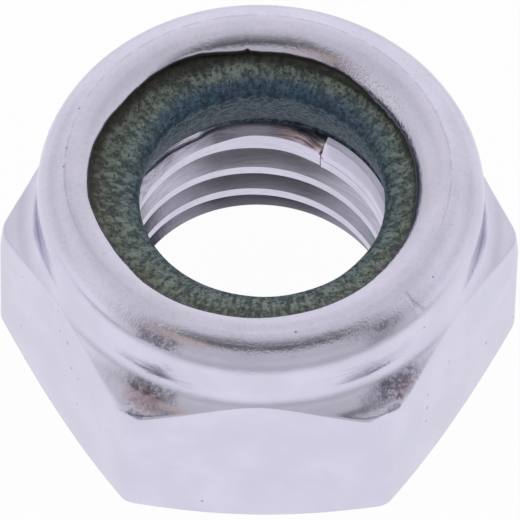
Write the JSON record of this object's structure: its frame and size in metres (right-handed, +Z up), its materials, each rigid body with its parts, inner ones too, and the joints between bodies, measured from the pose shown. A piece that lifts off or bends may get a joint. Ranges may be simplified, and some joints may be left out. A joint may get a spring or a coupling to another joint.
{
  "type": "nylon insert lock nut",
  "caption": "Hexagonal steel lock nut with a round collar rolled over a nylon ring that grips the bolt above the tapped thread.",
  "frame": {"origin": "centre of the bearing face, on the thread's axis", "axes": "+Z up the thread's axis from the bearing face to the rolled crown, +X through a corner of the hexagon, +Y square to a flat"},
  "size_m": [0.0274, 0.024, 0.015],
  "materials": {
    "steel": "bright zinc plate, lightly scuffed and pitted",
    "nylon": "mottled blue-green nylon, dull and slightly greasy"
  },
  "bodies": {
    "root": {"nut_body": "steel", "nylon_insert": "nylon"}
  },
  "joints": []
}
